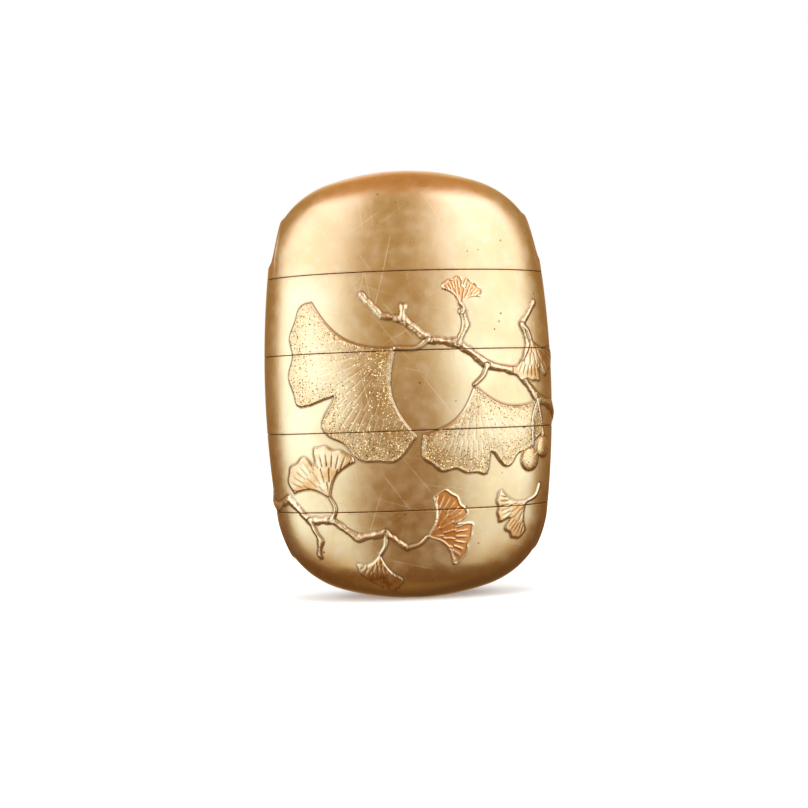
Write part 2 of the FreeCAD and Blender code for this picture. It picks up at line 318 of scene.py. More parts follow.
def fan_leaf(sheet, at, heading, size, kind, spread, notch, waves, phase):
    """A fan leaf: large and flaked, pink with cut veins, or flat and outlined."""
    loop = placed(fan_outline(spread, notch, waves, phase), at, heading, size)
    near = sheet.near(loop, LEAF_MARGIN)
    if not len(near):
        return
    x, y = sheet.x[near], sheet.y[near]
    gap = inside_distance(x, y, loop)
    u, v = local(x, y, at, heading)
    away, turn = np.hypot(u, v) / size, np.degrees(np.arctan2(u, v))
    vein = leaf_veins(away, turn, size)
    edge = ramp(gap, -0.08, EDGE_WIDTH)
    inner = np.maximum(gap, 0)
    fold = FOLD_HEIGHT * np.cos(np.radians(turn) * 5.0 + phase)
    height = EDGE_HEIGHT[kind] * edge
    if kind == "large":
        height += 0.34 * (1 - np.exp(-inner / (0.17 * size))) + fold * ramp(away, 0.2, 0.9)
        height += 0.13 * np.exp(-((inner - 0.28) / 0.3) ** 2) - VEIN_DEPTH[kind] * vein
        rim = np.exp(-inner / (0.11 * size)) + 0.5 * ramp(away, 0.65, 1.0)
        polished = 1 - ramp(np.abs(gap - 0.14), 0.1, 0.26)
        flaked = np.clip(rim, 0, 1) * (1 - polished)
        sheet.lay(near, edge, height, flaked=flaked, line=np.maximum(polished, 0.6 * vein))
    elif kind == "pink":
        height += 0.12 * (1 - np.exp(-inner / (0.2 * size))) + 0.5 * fold * away
        height -= VEIN_DEPTH[kind] * vein
        polished = 1 - ramp(np.abs(gap - 0.1), 0.08, 0.22)
        # Painted shade in the cut veins.
        sheet.lay(near, edge, height, pink=1.0, line=polished, grime=0.9 * vein)
    else:
        outline = 1 - ramp(np.abs(gap - 0.05), 0.05, 0.24)
        height += OUTLINE_HEIGHT * np.maximum(outline, 0.8 * vein)
        sheet.lay(near, np.maximum(edge, outline), height,
                  red=np.clip(edge - outline - vein, 0, 1), line=np.maximum(outline, vein))
        return
    # Painted shade round the leaf's foot.
    sheet.shade(near, -gap, FOOT_WIDTH)


STALK_TAPER = 0.7
TWIG_MARGIN = 2.0


def stalk(sheet, points, radius):
    """A thin raised stalk that tapers along its curve."""
    line = smooth_line(points)
    twig_line(sheet, line, np.linspace(radius, STALK_TAPER * radius, len(line)), 0.0)


def twig_line(sheet, line, radii, rough):
    """A rounded ridge along a line, with a rough granular skin."""
    near = sheet.near(line, TWIG_MARGIN)
    if not len(near):
        return
    x, y = sheet.x[near], sheet.y[near]
    wobble = rough * (0.16 * grain(x, y, 1.1, 3) + 0.06 * grain(x, y, 0.4, 5))
    gap = line_distance(x, y, line, radii) + wobble
    mid = float(np.mean(radii))
    cover = 1 - ramp(gap, -0.06, 0.16)
    swell = np.sqrt(np.clip(-gap / mid, 0, 1))
    skin = rough * (0.015 * grain(x, y, 0.35, 7) + 0.03 * grain(x, y, 0.8, 11))
    height = 0.12 + 0.62 * mid * swell + skin
    sheet.lay(near, cover, height, twig=1.0, flaked=0.1 * rough)
    # Painted shade along the twig's foot.
    sheet.shade(near, gap - 0.08, FOOT_WIDTH)


END_KNOB = 1.15
SLIM = 0.82
KNOB = 1.3


def twig(sheet, points, thick, thin):
    """An angular twig, slim between its bends, with a knob at each."""
    p = np.asarray(points, float)
    radii = thick + (thin - thick) * np.linspace(0, 1, len(p))
    line, sizes = [p[0]], [radii[0] * END_KNOB]
    for k, middle in enumerate((p[1:] + p[:-1]) / 2):
        line += [middle, p[k + 1]]
        sizes += [(radii[k] + radii[k + 1]) / 2 * SLIM, radii[k + 1] * KNOB]
    twig_line(sheet, np.array(line), np.array(sizes), 1.0)


NUT_MARGIN = 0.6
NUT_FOOT_WIDTH = 0.18


def nut(sheet, at, radius):
    """A round domed nut, a little uneven."""
    near = sheet.near([at], radius + NUT_MARGIN)
    if not len(near):
        return
    x, y = sheet.x[near], sheet.y[near]
    gap = radius * (1 + 0.03 * grain(x, y, 1.4, 13)) - np.hypot(x - at[0], y - at[1])
    cover = ramp(gap, -0.08, 0.2)
    dome = np.sqrt(np.clip(1 - (1 - np.clip(gap / radius, 0, 1)) ** 2, 0, 1))
    sheet.lay(near, cover, 0.1 + 0.62 * dome, pink=0.55, flaked=0.25)
    # Painted shade round the nut's foot.
    sheet.shade(near, -gap, NUT_FOOT_WIDTH)


# The front: fan leaves and nuts on two knobbly twigs, in the order of their laying.
FRONT = (
    (twig, [(37, 33), (31, 37.5), (26.5, 38.6), (22, 44), (15, 45.6), (9.5, 50), (3.5, 50.8)],
     0.8, 0.6),
    (twig, [(3.5, 50.8), (-1.5, 55), (-5.5, 55.6), (-9.5, 60)], 0.6, 0.38),
    (twig, [(22, 44), (24.5, 49.5), (23.3, 53.5), (27, 58)], 0.62, 0.36),
    (twig, [(9.5, 50), (11.2, 53.6), (10.6, 56)], 0.55, 0.5),
    (twig, [(-1.5, 55), (-1.2, 57.2)], 0.5, 0.55),
    (stalk, [(23.3, 53.5), (24.6, 52.4), (25.4, 50.4)], 0.36),
    (fan_leaf, (25.2, 50.6), 160, 8.4, "pink", 60, 0.3, 8, 0.8),
    (stalk, [(15, 45.6), (14.2, 43.6), (12.3, 41.8)], 0.42),
    (fan_leaf, (12.3, 41.8), 166, 17.5, "large", 62, 0.26, 9, 1.4),
    (stalk, [(3.5, 50.8), (1.0, 49.2), (-3.0, 49.3)], 0.42),
    (fan_leaf, (-3.0, 49.3), 234, 22.0, "large", 66, 0.32, 8, 0.3),
    (stalk, [(10.6, 56), (10.8, 57), (10.2, 57.6)], 0.3),
    (fan_leaf, (10.2, 57.4), 12, 5.4, "flat", 58, 0.36, 7, 2.0),
    (twig, [(-37, 22), (-31.5, 18.8), (-27, 20.5), (-22.4, 16.2), (-17.5, 16.4)], 0.7, 0.6),
    (twig, [(-17.5, 16.4), (-12.6, 12.8), (-6.5, 13.6), (-2.2, 10.6)], 0.6, 0.4),
    (twig, [(-22.4, 16.2), (-21, 12.4), (-22.8, 9.4)], 0.55, 0.42),
    (stalk, [(-17.5, 16.4), (-16.6, 18.6), (-17.4, 20.6)], 0.38),
    (fan_leaf, (-17.4, 20.4), 338, 10.2, "pink", 60, 0.3, 8, 0.0),
    (stalk, [(-2.2, 10.6), (0.6, 11.3), (2.4, 12.8)], 0.32),
    (fan_leaf, (2.4, 12.6), 70, 9.6, "flat", 60, 0.34, 8, 1.0),
    (stalk, [(-6.5, 13.6), (-6.9, 11.2), (-8.4, 9.4)], 0.3),
    (fan_leaf, (-8.4, 9.6), 196, 7.4, "pink", 58, 0.3, 7, 2.4),
    (stalk, [(26.5, 38.6), (25.0, 34.6), (25.2, 29.6)], 0.34),
    (stalk, [(26.5, 38.6), (27.4, 35.0), (28.2, 31.6)], 0.34),
    (nut, (24.6, 26.8), 2.3),
    (nut, (28.2, 29.2), 2.1),
    (stalk, [(27.6, 21.6), (26.6, 19.6), (24.2, 18.6)], 0.34),
    (fan_leaf, (24.4, 18.8), 232, 7.6, "pink", 58, 0.3, 8, 0.6),
)

# The back, a sparser branch; x runs on past the right-hand end.
BACK = (
    (twig, [(36, 33.6), (42, 31.2), (47.5, 33.8), (53, 32.0), (59, 37.4)], 0.95, 0.75),
    (twig, [(59, 37.4), (66, 38.6), (70.5, 44), (77, 46.2)], 0.72, 0.4),
    (twig, [(47.5, 33.8), (50, 39.6), (48.6, 43.8)], 0.55, 0.4),
    (twig, [(66, 38.6), (69.5, 34.2), (75.5, 33)], 0.55, 0.4),
    (stalk, [(59, 37.4), (60.5, 41.0), (59.4, 44.0)], 0.42),
    (fan_leaf, (59.4, 43.8), 346, 14.0, "large", 62, 0.3, 8, 1.1),
    (stalk, [(53, 32.0), (54.6, 29.4), (54.0, 27.0)], 0.4),
    (fan_leaf, (54.0, 27.2), 190, 11.0, "pink", 60, 0.3, 8, 0.5),
    (stalk, [(75.5, 33), (78.4, 31.6), (79.4, 29.6)], 0.4),
    (fan_leaf, (79.4, 29.8), 168, 13.0, "large", 60, 0.3, 9, 2.2),
    (stalk, [(48.6, 43.8), (47.4, 46.0), (45.2, 47.0)], 0.32),
    (fan_leaf, (45.4, 46.8), 318, 7.0, "flat", 58, 0.34, 7, 1.0),
    (stalk, [(77, 46.2), (80.0, 48.4), (82.6, 48.2)], 0.32),
    (fan_leaf, (82.4, 48.2), 62, 8.0, "pink", 60, 0.3, 8, 1.7),
    (twig, [(101, 21.4), (94, 17.6), (88.5, 18.8), (82, 13.4), (75, 14)], 0.85, 0.5),
    (stalk, [(88.5, 18.8), (87.0, 21.6), (88.4, 24.0)], 0.36),
    (fan_leaf, (88.4, 23.8), 20, 9.0, "pink", 60, 0.3, 8, 0.2),
    (stalk, [(75, 14), (72.4, 12.4), (69.8, 13.2)], 0.34),
    (fan_leaf, (70.0, 13.2), 268, 7.6, "flat", 58, 0.34, 7, 2.6),
)

# Where the back takes over from the front, and the walk below which it runs on.
SIDE_OVERLAP = 1.5
BACK_FROM = 20


def drawn(pieces, walk, height):
    """A sheet with pieces laid on it in turn."""
    sheet = Sheet(walk, height)
    for draw, *details in pieces:
        draw(sheet, *details)
    return sheet


def design(walk, height):
    """Heights and masks of the whole design at points of the wall."""
    front = drawn(FRONT, walk, height)
    back = drawn(BACK, np.where(walk < BACK_FROM, walk + 2 * HALF_ROUND, walk), height)
    back_only = (walk > FRONT_HALF - SIDE_OVERLAP) | (walk < -FRONT_HALF + SIDE_OVERLAP)
    front.height = np.where(back_only, back.height, front.height)
    for name in Sheet.MASKS:
        front.masks[name] = np.where(back_only, back.masks[name], front.masks[name])
    return front


# Skins: closed meshes of rings, one ring of points for each row of a profile.

def rim_rows(seam, up):
    """Rows that round a rim's outer edge: inset and height of each."""
    edge = seam - up * RIM_GAP
    rows = []
    for k in range(1, RIM_STEPS + 1):
        a = math.pi / 2 * k / RIM_STEPS
        rows.append((RIM_RADIUS * (1 - math.cos(a)), edge - up * RIM_RADIUS * (1 - math.sin(a))))
    return rows


def outer_rows(bottom, top, step, rims):
    """Rows of the outside from bottom to top, with round edges at the seams."""
    start = bottom + (RIM_GAP + RIM_RADIUS if "bottom" in rims else 0)
    end = top - (RIM_GAP + RIM_RADIUS if "top" in rims else 0)
    rows = [(0.0, h) for h in outline_heights(start, end, step)]
    if "bottom" in rims:
        rows = rim_rows(bottom, -1)[::-1] + rows
    if "top" in rims:
        rows = rows + rim_rows(top, 1)
    return rows


BORE = (RISER_HALF[0] + RISER_CLEARANCE, RISER_HALF[1] + RISER_CLEARANCE)
POCKET = (RISER_HALF[0] - RISER_WALL, RISER_HALF[1] - RISER_WALL)
ROOM_STEPS = 26
ROOM_SHARE = 0.999


def room_rows(ledge, pole):
    """Rows of the room inside the lid or the base, from its ledge to its end."""
    share = np.sin(np.linspace(0, math.pi / 2, ROOM_STEPS)) * ROOM_SHARE
    heights = ledge + (pole - ledge) * share
    wide = np.minimum(reach(FRONT_ARCS, heights, END_WALL), POCKET[0])
    deep = np.minimum(reach(SIDE_ARCS, heights, END_WALL), POCKET[1])
    return list(zip(wide, deep, heights))


# Share of the drawn heights that stands up, the bead along each channel's lip, and
# the steepest lean that the relief follows.
RELIEF = 0.75
LIP_HEIGHT = 0.2
LIP_WIDTH = 0.32
STEEPEST = 6


def skin_mesh(name, walk, outer, inner, closed, decorated, lip):
    """Mesh of rings: the outer rows carry the design, the inner ones are bare."""
    outer_count = len(outer)
    turn = np.interp(walk, GROUND_WALK, GROUND_TURN)
    sin, cos = np.sin(turn)[:, None], np.cos(turn)[:, None]
    wide, deep, up = [column[None, :] for column in np.array(outer + inner).T]
    x, y = wide * sin, -deep * cos
    z = np.broadcast_to(up, x.shape).copy()
    masks = {key: np.zeros(x.shape) for key in Sheet.MASKS}
    rise = np.zeros(x.shape)
    if decorated:
        part = slice(0, outer_count)
        sheet = design(np.repeat(walk, outer_count), z[:, part].ravel())
        rise[:, part] = RELIEF * sheet.height.reshape(len(walk), outer_count)
        for key in Sheet.MASKS:
            masks[key][:, part] = sheet.masks[key].reshape(len(walk), outer_count)
    if lip:
        across = np.abs(x) - CHANNEL_REACH
        share = np.hypot(across / lip[0], y / lip[1])
        slope = np.hypot(across / lip[0] ** 2, y / lip[1] ** 2)
        gap = (share - 1) * share / np.maximum(slope, 1e-6)
        inward = np.clip(0.5 - 0.5 * across / lip[0], 0, 1)
        bead = LIP_HEIGHT * inward * np.exp(-((gap - LIP_WIDTH) / LIP_WIDTH) ** 2)
        rise[:, :outer_count] += bead[:, :outer_count]
    nx, ny = sin / np.maximum(wide, 0.01), -cos / np.maximum(deep, 0.01)
    outer_wide = reach(FRONT_ARCS, up)
    steep = -np.gradient(outer_wide[0], up[0] + np.arange(up.size) * 1e-9)[None, :]
    steep = np.where(np.arange(up.size)[None, :] < outer_count, steep, 0)
    length = np.hypot(nx, ny)
    nx, ny = nx / length, ny / length
    tilt = np.clip(steep, -STEEPEST, STEEPEST) * np.hypot(nx, ny * deep / np.maximum(wide, 0.01))
    total = np.sqrt(1 + tilt ** 2)
    co = np.stack([x + rise * nx / total, y + rise * ny / total, z + rise * tilt / total], -1)
    masks["inner"] = np.broadcast_to(np.arange(up.size) >= outer_count, x.shape).astype(float)
    return ring_object(name, co * MM, masks, closed)


def ring_object(name, co, masks, closed):
    """Object from a grid of points: rings joined round, open or closed on."""
    around, rows = co.shape[:2]
    i = np.arange(around)[:, None]
    j = np.arange(rows if closed else rows - 1)[None, :]
    after, above = (i + 1) % around, (j + 1) % rows
    quads = np.stack(np.broadcast_arrays(
        i * rows + j, after * rows + j, after * rows + above, i * rows + above), -1).reshape(-1, 4)
    points = co.reshape(-1, 3)
    sizes = np.full(len(quads), 4)
    corners = quads.ravel()
    values = {key: mask.ravel() for key, mask in masks.items()}
    if not closed:
        first = np.full(around, len(points))
        points = np.vstack([points, co[:, 0].mean(0), co[:, -1].mean(0)])
        here = np.arange(around) * rows
        there = np.roll(here, -1)
        start = np.stack([there, here, first], -1)
        end = np.stack([here + rows - 1, there + rows - 1, first + 1], -1)
        corners = np.concatenate([corners, start.ravel(), end.ravel()])
        sizes = np.concatenate([sizes, np.full(2 * around, 3)])
        values = {key: np.append(value, [0, value[-1]]) for key, value in values.items()}
    mesh = bpy.data.meshes.new(name)
    mesh.vertices.add(len(points))
    mesh.vertices.foreach_set("co", points.astype(np.float32).ravel())
    mesh.loops.add(len(corners))
    mesh.loops.foreach_set("vertex_index", corners.astype(np.int32))
    mesh.polygons.add(len(sizes))
    starts = np.concatenate([[0], np.cumsum(sizes)[:-1]])
    mesh.polygons.foreach_set("loop_start", starts.astype(np.int32))
    mesh.update(calc_edges=True)
    mesh.validate()
    for key, value in values.items():
        layer = mesh.attributes.new(key, "FLOAT", "POINT")
        layer.data.foreach_set("value", value.astype(np.float32))
    thing = bpy.data.objects.new(name, mesh)
    bpy.context.scene.collection.objects.link(thing)
    return thing


def cut(thing, bar):
    """Take a bar away from a skin."""
    hole = thing.modifiers.new("cut", "BOOLEAN")
    hole.operation = "DIFFERENCE"
    hole.solver = "EXACT"
    hole.object = bar
    graph = bpy.context.evaluated_depsgraph_get()
    mesh = bpy.data.meshes.new_from_object(thing.evaluated_get(graph))
    thing.modifiers.clear()
    thing.data = mesh
    bpy.data.objects.remove(bar)


BORE_SIDES = 96
SHARP_DEGREES = 42

# The lip outside each mouth of the lid is worn off where it would be thinner than
# this. A round bar that lies along x takes it away, and its size and place follow.
LIP_LEAST = 0.14
LIP_SAMPLES = 2000
WORN_HALF = 2.4
WORN_DIP = 0.8
WORN_OUT = 2.7
WORN_LENGTH = 4


def round_bar(half, length, place, turn=(0, 0, 0)):
    """A round bar of two half sizes, to be cut away."""
    bpy.ops.mesh.primitive_cylinder_add(
        vertices=BORE_SIDES, radius=MM, depth=length * MM, rotation=turn,
        location=[value * MM for value in place])
    bar = bpy.context.object
    bar.scale = (half[0], half[1], 1)
    return bar


def finish_skin(thing, half, low_end, high_end, worn_from=None):
    """Bore both cord channels out of a skin, wear off thin lips and shade it smooth."""
    for side in (-1, 1):
        cut(thing, round_bar(half, high_end - low_end,
                             (side * CHANNEL_REACH, 0, (low_end + high_end) / 2)))
        if worn_from:
            place = (side * (CHANNEL_REACH + WORN_OUT), 0, worn_from + WORN_HALF - WORN_DIP)
            cut(thing, round_bar((WORN_HALF, half[1]), WORN_LENGTH, place, (0, math.pi / 2, 0)))
    mesh = thing.data
    mesh.polygons.foreach_set("use_smooth", np.ones(len(mesh.polygons), bool))
    mesh.set_sharp_from_angle(angle=math.radians(SHARP_DEGREES))


def outside(rows):
    """Profile rows of the outside as half sizes and heights."""
    inset, heights = np.array(rows).T
    return list(zip(reach(FRONT_ARCS, heights) - inset, reach(SIDE_ARCS, heights) - inset, heights))


# Sizes of the meshes' faces: up the wall, and round its front and its back.
CASE_STEP = 0.155
CASE_WALK = (0.15, 0.21)
FOOT_STEP = 0.3
BASE_STEP = 0.17
BASE_WALK = (0.19, 0.27)
LID_STEP = 0.25
LID_WALK = (0.23, 0.36)


def case_skin(name):
    """Wall of a middle case: outside, rims and bore."""
    bottom, top = low(f"{name}_wall").z, high(f"{name}_wall").z
    outer = outside(outer_rows(bottom, top, CASE_STEP, ("bottom", "top")))
    inner = [(*BORE, height) for height in (top - RIM_GAP, (top + bottom) / 2, bottom + RIM_GAP)]
    thing = skin_mesh(f"{name}_lacquer", walk_round(*CASE_WALK), outer, inner, True, True, None)
    finish_skin(thing, SEAT, bottom - 1, top + 1)
    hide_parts(f"{name}_wall")
    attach(thing, name)
    return thing


def base_skin():
    """The base case: outside down to the foot, and the room inside."""
    foot = outline_heights(0.0, BASE_LEDGE, FOOT_STEP)
    wall = outer_rows(BASE_LEDGE, BASE_SEAM, BASE_STEP, ("top",))
    outer = outside([(0.0, h) for h in foot[:-1]] + wall)
    inner = [(*BORE, BASE_SEAM - RIM_GAP), (*BORE, BASE_LEDGE)]
    inner += room_rows(BASE_LEDGE, END_WALL - FOOT_CUT)
    thing = skin_mesh("base_case_lacquer", walk_round(*BASE_WALK), outer, inner,
                      False, True, SEAT)
    finish_skin(thing, SEAT, -2, BASE_SEAM + 1)
    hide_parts("base_case_wall", "base_case_bottom_board")
    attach(thing, "base_case")
    return thing


def lid_skin():
    """The lid: outside up to the crown, bare, with the recess and room below."""
    outer = outside(outer_rows(LID_SEAM, TOP, LID_STEP, ("bottom",)))[::-1]
    inner = [(*BORE, LID_SEAM + RIM_GAP), (*BORE, LID_LEDGE)]
    inner += room_rows(LID_LEDGE, HEIGHT - END_WALL)
    thing = skin_mesh("lid_lacquer", walk_round(*LID_WALK)[::-1], outer, inner,
                      False, False, MOUTH)
    heights = np.linspace(LID_SEAM, TOP, LIP_SAMPLES)
    thin = reach(FRONT_ARCS, heights) < CHANNEL_REACH + MOUTH[0] + LIP_LEAST
    finish_skin(thing, MOUTH, LID_SEAM - 1, HEIGHT + 2, heights[thin][0])
    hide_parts("lid_wall", "lid_crown_board")
    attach(thing, "lid")
    return thing


# Materials.

class Nodes:
    """Small helper to wire the node tree of a material or of the world."""

    def __init__(self, owner):
        owner.use_nodes = True
        self.owner = owner
        self.tree = owner.node_tree
        self.tree.nodes.clear()

    def node(self, kind, **settings):
        """A node with its settings; an input is a number, a colour or a link."""
        made = self.tree.nodes.new(kind)
        inputs = settings.pop("inputs", {})
        for key, value in settings.items():
            setattr(made, key, value)
        for key, value in inputs.items():
            if isinstance(value, bpy.types.NodeSocket):
                self.tree.links.new(value, made.inputs[key])
            else:
                made.inputs[key].default_value = value
        return made

    def finish(self, surface, kind="ShaderNodeOutputMaterial"):
        """End the tree in its output, and give back what it belongs to."""
        self.node(kind, inputs={0: surface})
        return self.owner

    def place(self):
        return self.node("ShaderNodeTexCoord").outputs["Object"]

    def split(self, place):
        return self.node("ShaderNodeSeparateXYZ", inputs={0: place}).outputs

    def math(self, operation, first, second=0.0):
        return self.node("ShaderNodeMath", operation=operation,
                         inputs={0: first, 1: second}).outputs[0]

    plus, minus, times, over, most, below, size = [
        lambda self, first, second=0.0, name=name: self.math(name, first, second)
        for name in ("ADD", "SUBTRACT", "MULTIPLY", "DIVIDE", "MAXIMUM", "LESS_THAN", "ABSOLUTE")]

    def vector(self, operation, first, second):
        key = "Scale" if operation == "SCALE" else 1
        return self.node("ShaderNodeVectorMath", operation=operation,
                         inputs={0: first, key: second}).outputs[0]

    def attribute(self, name):
        return self.node("ShaderNodeAttribute", attribute_name=name).outputs["Fac"]

    def mix(self, factor, first, second):
        return self.node("ShaderNodeMix", data_type="RGBA",
                         inputs={0: factor, 6: first, 7: second}).outputs[2]

    def blend(self, factor, first, second):
        return self.node("ShaderNodeMix", data_type="FLOAT",
                         inputs={0: factor, 2: first, 3: second}).outputs[0]

    def step(self, value, low_end, high_end, to_low=0.0, to_high=1.0):
        return self.node("ShaderNodeMapRange", interpolation_type="SMOOTHSTEP", inputs={
            0: value, 1: low_end, 2: high_end, 3: to_low, 4: to_high}).outputs[0]

    def noise(self, place, scale, detail):
        return self.node("ShaderNodeTexNoise", inputs={
            "Vector": place, "Scale": scale, "Detail": detail}).outputs[0]

    def cells(self, place, scale):
        return self.node("ShaderNodeTexVoronoi", inputs={"Vector": place, "Scale": scale}).outputs

    def stretched(self, place, scale):
        return self.node("ShaderNodeMapping", inputs={"Vector": place, "Scale": scale}).outputs[0]

    def chance(self, value, seed):
        place = self.node("ShaderNodeCombineXYZ", inputs={0: value, 1: seed}).outputs[0]
        return self.node("ShaderNodeTexWhiteNoise", noise_dimensions="3D",
                         inputs={"Vector": place}).outputs["Value"]

    def bump(self, height, strength, distance, normal=None):
        inputs = {"Height": height, "Strength": strength, "Distance": distance}
        if normal is not None:
            inputs["Normal"] = normal
        return self.node("ShaderNodeBump", inputs=inputs).outputs[0]


GOLD = (0.80, 0.57, 0.26, 1)
GOLD_DEEP = (0.64, 0.40, 0.15, 1)
GOLD_PALE = (0.88, 0.69, 0.40, 1)
PINK_GOLD = (0.60, 0.28, 0.075, 1)
RED_GOLD = (0.86, 0.33, 0.07, 1)
LIP_GOLD_AND_HIGHLIGHT = (0.90, 0.56, 0.28, 1)
# Bright flake gold, partly a painted glint.
FLAKE_BRIGHT = (0.98, 0.70, 0.24, 1)
FLAKE_DARK = (0.16, 0.07, 0.03, 1)
FLAKE_RED = (0.46, 0.12, 0.05, 1)
# Dark brown for grime and for painted shade.
GRIME_AND_SHADE = (0.10, 0.05, 0.025, 1)
LACQUER_RED = (0.19, 0.055, 0.018, 1)
LACQUER_DARK = (0.03, 0.014, 0.008, 1)

# Scales of the noises and cells, in grains for each metre.
CLOUD_SCALE = 70
INNER_CLOUD_SCALE = 160
SOFT_SCALE = 230
PATCH_SCALE = 240
FINE_SCALE = 420
INNER_SOFT_SCALE = 500
SPECK_SCALE = 620
RAGGED_SCALE = 900
KNOB_SCALE = 1500
SUNK_FLAKE_SCALE = 2600
FLAKE_SCALE = 3300
POWDER_SCALE = 9000
RUBBED_SCALES = (900, 900, 90)
TURNED_SCALES = (3000, 3000, 120)
CORD_SCALES = (1800, 1800, 240)

# Scratches: directions, the cell that each has to itself, and its half width.
SCRATCH_ANGLES = (0.12, -0.3, 0.62, -0.95, 1.35)
SCRATCH_CELL = 0.0028
SCRATCH_LENGTH = 0.014
SCRATCH_HALF = (0.012, 0.035)
SCRATCH_ENDS = (0.2, 0.45)
SCRATCH_LEAST = 0.68
LANE_SHIFT = 7.0
CELL_STRIDE = 31.7
WRAP_FLATNESS = 0.45
WRAP_RADIUS = 0.0277


def scratches(kit, x, z, seed):
    """Long thin straight scratches in a few directions, one to a cell at most."""
    total = 0.0
    for k, angle in enumerate(SCRATCH_ANGLES):
        cos, sin = math.cos(angle), math.sin(angle)
        across = kit.plus(kit.times(x, cos / SCRATCH_CELL), kit.times(z, sin / SCRATCH_CELL))
        along = kit.minus(kit.times(z, cos / SCRATCH_LENGTH), kit.times(x, sin / SCRATCH_LENGTH))
        lane = kit.math("FLOOR", across)
        along = kit.plus(along, kit.times(kit.chance(lane, k + seed), LANE_SHIFT))
        cell = kit.plus(lane, kit.times(kit.math("FLOOR", along), CELL_STRIDE))
        middle = kit.step(kit.chance(cell, 2.3 * k + seed), 0.0, 1.0, 0.25, 0.75)
        from_middle = kit.minus(kit.math("FRACT", along), 0.5)
        lean = kit.times(kit.minus(kit.chance(cell, 5.1 * k + seed), 0.5), from_middle)
        gap = kit.size(kit.minus(kit.plus(kit.math("FRACT", across), lean), middle))
        line = kit.times(kit.step(gap, *SCRATCH_HALF, 1.0, 0.0),
                         kit.step(kit.size(from_middle), *SCRATCH_ENDS, 1.0, 0.0))
        line = kit.times(line, kit.step(kit.chance(cell, 8.7 * k + seed), SCRATCH_LEAST, 1.0))
        total = kit.most(total, line)
    return total


def channel_gap(kit, x, y, half):
    """Distance in millimetres from the edge of a cord channel, below zero inside it."""
    across = kit.over(kit.minus(kit.size(x), CHANNEL_REACH * MM), MM)
    along = kit.over(y, MM)

    def length(power):
        wide = kit.over(across, half[0] ** power)
        deep = kit.over(along, half[1] ** power)
        return kit.math("SQRT", kit.plus(kit.times(wide, wide), kit.times(deep, deep)))

    share = length(1)
    return kit.over(kit.times(kit.minus(share, 1.0), share), length(2))


# Grime and painted shade, as widths in millimetres and shares of the colour.
SEAMS = [low(f"{case}_wall").z for case in CASES] + [LID_SEAM]
SPECK_RADIUS = 0.16
SPECK_DARK = 0.8
RAGGED_WIDTH = 0.14
CHIP_WIDTH = 0.3
SEAM_SOFT_WIDTH = 0.8
SEAM_SOFT = 0.2
PAINTED_SHADE_SHARE = 0.62
CHANNEL_SHADE = 0.85
MOUTH_DARK = 0.45
# Painted shade, darker towards the bottom.
FOOT_SHADE_HEIGHT = 12
FOOT_SHADE = 0.4


def seam_grime(kit, place, z, fine_cloud):
    """Dirt packed in the seams, ragged and chipped, with a soft share beside it."""
    away = 1.0
    for seam in SEAMS:
        away = kit.math("MINIMUM", away, kit.size(kit.minus(z, seam * MM)))
    ragged = kit.times(kit.noise(place, RAGGED_SCALE, 2.0), RAGGED_WIDTH * MM)
    chip = kit.step(kit.noise(place, FINE_SCALE, 1.0), 0.68, 0.78, 0.0, CHIP_WIDTH * MM)
    packed = kit.times(kit.below(away, kit.plus(ragged, chip)),
                       kit.step(fine_cloud, 0.35, 0.7, 0.2, 0.8))
    soft = kit.times(kit.step(away, 0.0, SEAM_SOFT_WIDTH * MM, SEAM_SOFT, 0.0),
                     kit.step(fine_cloud, 0.3, 0.7))
    return kit.most(packed, soft)


def mouth_shade(kit, x, z, gap, dark):
    """The lid's mouths: painted shade, dark on the inner edge and in a bore that darkens downward.
    """
    inward = kit.step(kit.size(x), CHANNEL_REACH * MM, (CHANNEL_REACH + 1) * MM, 1.0, 0.0)
    dark = kit.most(dark, kit.times(kit.step(gap, -0.03, 0.05, MOUTH_DARK, 0.0), inward))
    shade = kit.step(z, (LID_SEAM + 1) * MM, (LID_SEAM + 12) * MM, 0.94, 0.4)
    return kit.most(dark, kit.times(kit.below(gap, 0.02), shade))


# Flakes: how thickly they lie, and which share of them is dark or red; the bright ones stand partly
# for painted glints.
FLAKE_COVER = 1.4
FLAKE_GROUND = 0.45
FLAKE_DARK_SHARE = 0.26
FLAKE_RED_FROM = 0.9
FLAKE_LEAN = 0.8


